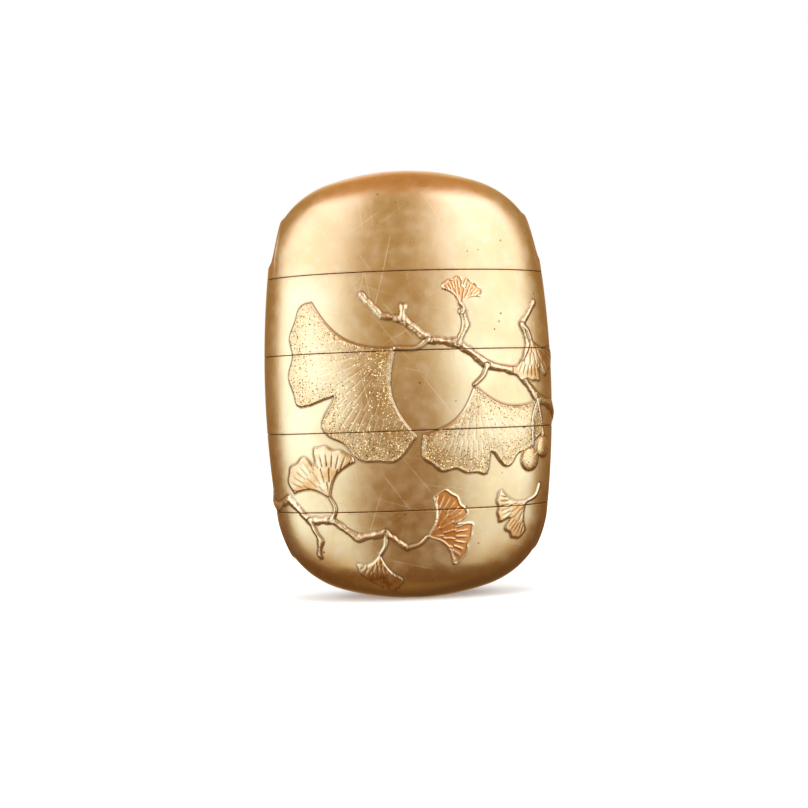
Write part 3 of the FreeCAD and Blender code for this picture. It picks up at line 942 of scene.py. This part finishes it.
def gold_lacquer(name, decorated, scratch):
    """Satin powdered-gold lacquer, darkened at the seams, with painted shade in the channels and
    mouths, at the foot and round the raised design.
    """
    kit = Nodes(bpy.data.materials.new(name))
    place = kit.place()
    x, y, z = kit.split(place)
    cloud = kit.noise(place, CLOUD_SCALE, 3.0)
    fine_cloud = kit.noise(place, FINE_SCALE, 3.0)
    fine_share = kit.step(fine_cloud, 0.3, 0.7)
    powder = kit.noise(place, POWDER_SCALE, 1.0)
    colour = kit.mix(kit.step(cloud, 0.3, 0.72), GOLD_DEEP, GOLD)
    colour = kit.mix(kit.step(fine_cloud, 0.45, 0.8, 0.0, 0.35), colour, GOLD_PALE)
    colour = kit.mix(kit.step(powder, 0.35, 0.7, 0.06, 0.19), colour, GOLD_DEEP)
    rough = kit.blend(fine_share, 0.27, 0.35)
    height = kit.times(powder, 0.03)
    speck = kit.times(kit.below(kit.cells(place, SPECK_SCALE)["Distance"], SPECK_RADIUS),
                      kit.step(kit.noise(place, PATCH_SCALE, 1.0), 0.66, 0.72))
    dark = kit.times(speck, SPECK_DARK)
    if decorated:
        flaked, pink, red, twigs, line, shade_mask = [kit.attribute(mask) for mask in Sheet.MASKS]
        colour = kit.mix(pink, colour, kit.mix(fine_share, PINK_GOLD, GOLD))
        colour = kit.mix(red, colour, kit.mix(kit.step(cloud, 0.3, 0.7), RED_GOLD, PINK_GOLD))
        colour = kit.mix(kit.times(twigs, 0.25), colour, GOLD_PALE)
        dust = kit.cells(place, FLAKE_SCALE)
        tone = kit.node("ShaderNodeSeparateColor", inputs={0: dust["Color"]}).outputs
        colour = kit.mix(kit.times(flaked, FLAKE_GROUND), colour, GOLD_DEEP)
        here = kit.times(kit.below(tone[0], kit.times(flaked, FLAKE_COVER)),
                         kit.step(dust["Distance"], 0.3, 0.5, 1.0, 0.0))
        # Bright flakes are gold flakes, partly painted as glints.
        bright = kit.math("GREATER_THAN", tone[1], FLAKE_DARK_SHARE)
        paint = kit.mix(bright, FLAKE_DARK, FLAKE_BRIGHT)
        paint = kit.mix(kit.math("GREATER_THAN", tone[2], FLAKE_RED_FROM), paint, FLAKE_RED)
        colour = kit.mix(here, colour, paint)
        colour = kit.mix(kit.times(line, 0.7), colour, GOLD_PALE)
        height = kit.plus(height, kit.times(here, 0.5))
        knobs = kit.times(kit.cells(place, KNOB_SCALE)["Distance"], twigs)
        height = kit.minus(height, kit.times(knobs, 0.6))
        rough = kit.plus(rough, kit.times(flaked, 0.08))
        # Painted shade at the feet of the raised design and in the cut veins.
        dark = kit.most(dark, kit.times(shade_mask, PAINTED_SHADE_SHARE))
    around = kit.math("ARCTAN2", kit.times(x, WRAP_FLATNESS), kit.times(y, -1.0))
    marks = scratches(kit, kit.times(around, WRAP_RADIUS), z, scratch)
    colour = kit.mix(kit.times(marks, 0.2 if decorated else 0.4), colour, GOLD_PALE)
    rough = kit.plus(rough, kit.times(marks, 0.12))
    height = kit.minus(height, kit.times(marks, 0.4))
    dark = kit.most(dark, seam_grime(kit, place, z, fine_cloud))
    gap = channel_gap(kit, x, y, SEAT if decorated else MOUTH)
    if decorated:
        # Painted shade inside the cord channels.
        dark = kit.most(dark, kit.step(gap, -0.03, 0.05, CHANNEL_SHADE, 0.0))
    else:
        # A lighter band just outside each mouth's edge: wear on the lip, and partly a painted
        # highlight.
        worn_and_lit = kit.times(kit.step(gap, 0.0, 0.12), kit.step(gap, 0.3, 0.7, 1.0, 0.0))
        colour = kit.mix(kit.times(worn_and_lit, 0.8), colour, LIP_GOLD_AND_HIGHLIGHT)
        dark = mouth_shade(kit, x, z, gap, dark)
    # Painted shade, darker towards the bottom.
    foot = kit.times(kit.step(z, FOOT_SHADE_HEIGHT * MM, 0.0, 0.0, FOOT_SHADE), kit.step(cloud, 0.35, 0.7))
    # Specks and seam grime, and painted shade at the foot, round the raised design and in the
    # channels and mouths, mix in the dark brown.
    colour = kit.mix(kit.most(dark, foot), colour, GRIME_AND_SHADE)
    normal = kit.bump(kit.noise(place, SOFT_SCALE, 2.0), 0.12, 0.25 * MM)
    normal = kit.bump(height, 0.35, 0.05 * MM, normal)
    if decorated:
        lean = kit.vector("SUBTRACT", dust["Color"], (0.5, 0.5, 0.5))
        lean = kit.vector("SCALE", lean, kit.times(here, FLAKE_LEAN))
        leant = kit.vector("ADD", normal, lean)
        normal = kit.vector("NORMALIZE", leant, (0.0, 0.0, 0.0))
    shader = kit.node("ShaderNodeBsdfPrincipled", inputs={
        "Base Color": colour, "Roughness": rough, "Normal": normal, "Metallic": 1.0,
        "Coat Weight": 0.12, "Coat Roughness": 0.12})
    chosen = kit.node("ShaderNodeMixShader", inputs={
        0: kit.math("GREATER_THAN", kit.attribute("inner"), 0.99),
        1: shader.outputs[0], 2: inner_lacquer(kit, place)})
    return kit.finish(chosen.outputs[0])


def inner_lacquer(kit, place):
    """Shader of red-brown lacquer with sunk gold flakes."""
    dust = kit.cells(place, SUNK_FLAKE_SCALE)
    tone = kit.node("ShaderNodeSeparateColor", inputs={0: dust["Color"]}).outputs
    here = kit.times(kit.below(tone[0], 0.42), kit.step(dust["Distance"], 0.4, 0.28))
    deep = kit.step(kit.noise(place, INNER_CLOUD_SCALE, 3.0), 0.3, 0.7)
    ground = kit.mix(deep, LACQUER_RED, GRIME_AND_SHADE)
    fleck = kit.mix(tone[1], GOLD_DEEP, FLAKE_BRIGHT)
    return kit.node("ShaderNodeBsdfPrincipled", inputs={
        "Base Color": kit.mix(here, ground, fleck), "Metallic": here, "Roughness": 0.3,
        "Coat Weight": 0.6, "Coat Roughness": 0.06,
        "Normal": kit.bump(kit.noise(place, INNER_SOFT_SCALE, 2.0), 0.1, 0.1 * MM)}).outputs[0]


def flake_lacquer(name):
    """The floor boards' lacquer."""
    kit = Nodes(bpy.data.materials.new(name))
    return kit.finish(inner_lacquer(kit, kit.place()))


def riser_lacquer(name):
    """Gold outside and on the rim, flaked red-brown inside."""
    kit = Nodes(bpy.data.materials.new(name))
    place = kit.place()
    x, y, z = kit.split(place)
    cloud = kit.noise(place, INNER_CLOUD_SCALE, 3.0)
    colour = kit.mix(kit.step(cloud, 0.3, 0.7), GOLD_DEEP, GOLD)
    rubbed = kit.noise(kit.stretched(place, RUBBED_SCALES), 1.0, 3.0)
    colour = kit.mix(kit.step(rubbed, 0.55, 0.75, 0.0, 0.5), colour, FLAKE_RED)
    marks = kit.noise(kit.stretched(place, TURNED_SCALES), 1.0, 2.0)
    shader = kit.node("ShaderNodeBsdfPrincipled", inputs={
        "Base Color": colour, "Metallic": 1.0,
        "Roughness": kit.blend(kit.step(marks, 0.4, 0.7), 0.26, 0.42),
        "Normal": kit.bump(marks, 0.15, 0.03 * MM)})
    wide, deep = [kit.math("POWER", kit.over(value, (half + 0.05) * MM), 2.0)
                  for value, half in ((x, POCKET[0]), (y, POCKET[1]))]
    chosen = kit.node("ShaderNodeMixShader", inputs={
        0: kit.below(kit.plus(wide, deep), 1.0),
        1: shader.outputs[0], 2: inner_lacquer(kit, place)})
    return kit.finish(chosen.outputs[0])


def dark_lacquer(name):
    """Smooth brown-black lacquer, rubbed by the cord."""
    kit = Nodes(bpy.data.materials.new(name))
    rubbed = kit.noise(kit.stretched(kit.place(), CORD_SCALES), 1.0, 3.0)
    colour = kit.mix(kit.step(rubbed, 0.45, 0.75), LACQUER_DARK, LACQUER_RED)
    shader = kit.node("ShaderNodeBsdfPrincipled", inputs={
        "Base Color": colour, "Roughness": kit.step(rubbed, 0.3, 0.7, 0.2, 0.45),
        "Normal": kit.bump(rubbed, 0.2, 0.03 * MM)})
    return kit.finish(shader.outputs[0])


def dress(thing, material):
    """Give an object one material."""
    thing.data.materials.clear()
    thing.data.materials.append(material)


skin_gold = gold_lacquer("decorated_gold_lacquer", True, 0.0)
lid_gold = gold_lacquer("plain_gold_lacquer", False, 1.7)
skins = [(case_skin(case), skin_gold) for case in CASES]
skins += [(base_skin(), skin_gold), (lid_skin(), lid_gold)]
for made, gold in skins:
    dress(made, gold)

INNER_LACQUERS = {
    "_riser": riser_lacquer("riser_gold_lacquer"),
    "_floor_board": flake_lacquer("gold_flake_lacquer"),
    "_cord_tube_": dark_lacquer("dark_tube_lacquer"),
}
for node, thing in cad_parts.items():
    for part, lacquer in INNER_LACQUERS.items():
        if part in node:
            dress(thing, lacquer)


# Floor, lights and camera.

CENTRE = (0.0, 0.0, 0.043)
TENT_RADIUS = 1.6

# Turns from the camera's side, to the right above zero, and heights, in degrees.
LEFT_BOX = (-83.0, -25.0)
RIGHT_BOX = (18.0, 77.0)
RIGHT_LEAN = (-22.0, 2.0, 13.0)
LEAN_TURN = (30.0, 60.0)
LEFT_RISE = (-27.0, 49.0)
RIGHT_RISE = (-21.0, 49.0)
BACK_RISE = (-24.0, 49.0)
BACK_TURN = (148.0, 178.0)
BOX_SIDE_FADE = 8.0
BOX_FADE = 15.0
CLOTH_RISE = (-22.0, 8.0)
TOP_RISE = (28.0, 62.0)
FLOOR_RISE = (-82.0, -62.0)
BEHIND_TURN = (88.0, 108.0)
BEHIND_RISE = (18.0, 56.0)

# How brightly each part of the tent glows, and in which colour.
LEFT_LEVEL = 2.75
RIGHT_LEVEL = 2.95
BACK_LEVEL = 1.0
LOW_LEVEL = 0.27
CLOTH_LEVEL = 0.55
TOP_LEVEL = 0.66
FLOOR_LEVEL = 0.42
BEHIND_SHARE = 0.75
DIM_TINT = (1.0, 0.54, 0.24, 1)
CLOTH_TINT = (1.0, 0.75, 0.39, 1)
TOP_TINT = (1.0, 0.57, 0.27, 1)
BOX_TINT = (0.51, 0.67, 1.0, 1)
HIGH_BOX_TINT = (0.62, 0.66, 0.98, 1)


def light_tent():
    """A round tent that only reflections see: two soft boxes among dimmer cloth."""
    bpy.ops.mesh.primitive_uv_sphere_add(
        segments=48, ring_count=24, radius=TENT_RADIUS, location=CENTRE)
    tent = bpy.context.object
    tent.name = "light_tent"
    kit = Nodes(bpy.data.materials.new("tent_cloth"))
    x, y, z = kit.split(kit.place())
    turn = kit.times(kit.math("ARCTAN2", x, kit.times(y, -1.0)), 180 / math.pi)
    rise = kit.times(kit.math("ARCSINE", kit.over(z, TENT_RADIUS)), 180 / math.pi)

    def window(value, ends, soft):
        return kit.times(kit.step(value, ends[0] - soft, ends[0] + soft),
                         kit.step(value, ends[1] - soft, ends[1] + soft, 1.0, 0.0))

    def box(turned, turns, rises, level):
        glow = kit.times(window(turned, turns, BOX_SIDE_FADE), window(rise, rises, BOX_FADE))
        return kit.times(glow, level)

    drawn_in = kit.times(kit.step(rise, *RIGHT_LEAN, 0.0), kit.step(turn, *LEAN_TURN, 1.0, 0.0))
    boxes = kit.plus(box(turn, LEFT_BOX, LEFT_RISE, LEFT_LEVEL),
                     box(kit.minus(turn, drawn_in), RIGHT_BOX, RIGHT_RISE, RIGHT_LEVEL))
    around = kit.size(turn)
    back = kit.times(kit.step(around, *BACK_TURN, 0.0, BACK_LEVEL),
                     window(rise, BACK_RISE, BOX_FADE))
    behind = kit.times(kit.step(around, *BEHIND_TURN), kit.step(rise, *BEHIND_RISE, 1.0, 0.0))
    cloth = kit.plus(kit.step(rise, *CLOTH_RISE, LOW_LEVEL, CLOTH_LEVEL),
                     kit.step(rise, *TOP_RISE, 0.0, TOP_LEVEL - CLOTH_LEVEL))
    cloth = kit.plus(cloth, kit.step(rise, *FLOOR_RISE, FLOOR_LEVEL - LOW_LEVEL, 0.0))
    cloth = kit.times(cloth, kit.blend(behind, 1.0, BEHIND_SHARE))
    level = kit.plus(kit.plus(cloth, back), boxes)
    tint = kit.mix(kit.step(level, 0.2, 0.6), DIM_TINT, CLOTH_TINT)
    tint = kit.mix(kit.step(rise, 34.0, 62.0), tint, TOP_TINT)
    box_tint = kit.mix(kit.step(rise, 2.0, 24.0), BOX_TINT, HIGH_BOX_TINT)
    tint = kit.mix(kit.step(level, 0.7, 2.2), tint, box_tint)
    glow = kit.node("ShaderNodeEmission", inputs={"Color": tint, "Strength": level})
    tent.data.materials.append(kit.finish(glow.outputs[0]))
    tent.visible_camera = False
    tent.visible_shadow = False
    tent.visible_diffuse = False


# Soft lamps for the floor and the dull surfaces: size and place in metres.
LAMPS = {
    "left_lamp": ((0.5, 0.7), (-0.6, -0.42, 0.35)),
    "right_lamp": ((0.5, 0.7), (0.6, -0.42, 0.35)),
    "top_lamp": ((0.5, 0.5), (0.0, -0.1, 0.8)),
}
LAMP_POWER = 2.0
LAMP_COLOUR = (1.0, 0.97, 0.92)
DULL_LIGHT = 0.9
FLOOR_COLOUR = (0.92, 0.92, 0.92, 1)
FLOOR_GLOW = 0.22
WHITE = (1, 1, 1, 1)


def lamp(name, size, place):
    """A soft lamp turned to the object; reflections see the tent instead."""
    data = bpy.data.lights.new(name, "AREA")
    data.shape = "RECTANGLE"
    data.size, data.size_y = size
    data.energy = LAMP_POWER
    data.color = LAMP_COLOUR
    made = bpy.data.objects.new(name, data)
    made.location = place
    made.rotation_euler = (Vector(CENTRE) - Vector(place)).to_track_quat("-Z", "Y").to_euler()
    made.visible_glossy = False
    bpy.context.scene.collection.objects.link(made)


def white_world():
    """White to the camera and to clear and glossy rays, a little dimmer as a light."""
    world = bpy.data.worlds.new("studio")
    bpy.context.scene.world = world
    kit = Nodes(world)
    path = kit.node("ShaderNodeLightPath").outputs
    seen = kit.most(path["Is Camera Ray"], path["Is Glossy Ray"])
    seen = kit.most(seen, path["Is Transmission Ray"])
    light = kit.node("ShaderNodeBackground",
                     inputs={0: WHITE, 1: kit.blend(seen, DULL_LIGHT, 1.0)})
    kit.finish(light.outputs[0], "ShaderNodeOutputWorld")


def pale_floor():
    """A floor that stays white but for the object's shadow."""
    bpy.ops.mesh.primitive_plane_add(size=40, location=(0, 0, 0))
    floor = bpy.context.object
    floor.name = "floor"
    kit = Nodes(bpy.data.materials.new("floor_pale"))
    dull = kit.node("ShaderNodeBsdfDiffuse", inputs={"Color": FLOOR_COLOUR})
    glow = kit.node("ShaderNodeEmission", inputs={"Color": WHITE, "Strength": FLOOR_GLOW})
    both = kit.node("ShaderNodeAddShader", inputs={0: dull.outputs[0], 1: glow.outputs[0]})
    floor.data.materials.append(kit.finish(both.outputs[0]))
    floor.visible_glossy = False


white_world()
pale_floor()
light_tent()
for name, (size, place) in LAMPS.items():
    lamp(name, size, place)

# The camera, from a perspective fit of the outline and the seams.
LENS = 60.0
SENSOR_WIDTH = 36.0
NEAREST = 0.01
CAMERA_PLACE = (-0.0133, -0.2724, 0.03675)
CAMERA_YAW = 0.0449
CAMERA_PITCH = 0.0067
CAMERA_ROLL = -0.0339


def photo_camera():
    """The camera at the photograph's angle."""
    data = bpy.data.cameras.new("camera")
    data.lens = LENS
    data.sensor_width = SENSOR_WIDTH
    data.clip_start = NEAREST
    made = bpy.data.objects.new("camera", data)
    made.location = CAMERA_PLACE
    forward = Vector((math.sin(CAMERA_YAW) * math.cos(CAMERA_PITCH),
                      math.cos(CAMERA_YAW) * math.cos(CAMERA_PITCH), math.sin(CAMERA_PITCH)))
    made.rotation_euler = forward.to_track_quat("-Z", "Y").to_euler()
    made.rotation_euler.rotate_axis("Z", CAMERA_ROLL)
    bpy.context.scene.collection.objects.link(made)
    bpy.context.scene.camera = made


photo_camera()
bpy.context.scene.view_settings.view_transform = "Standard"
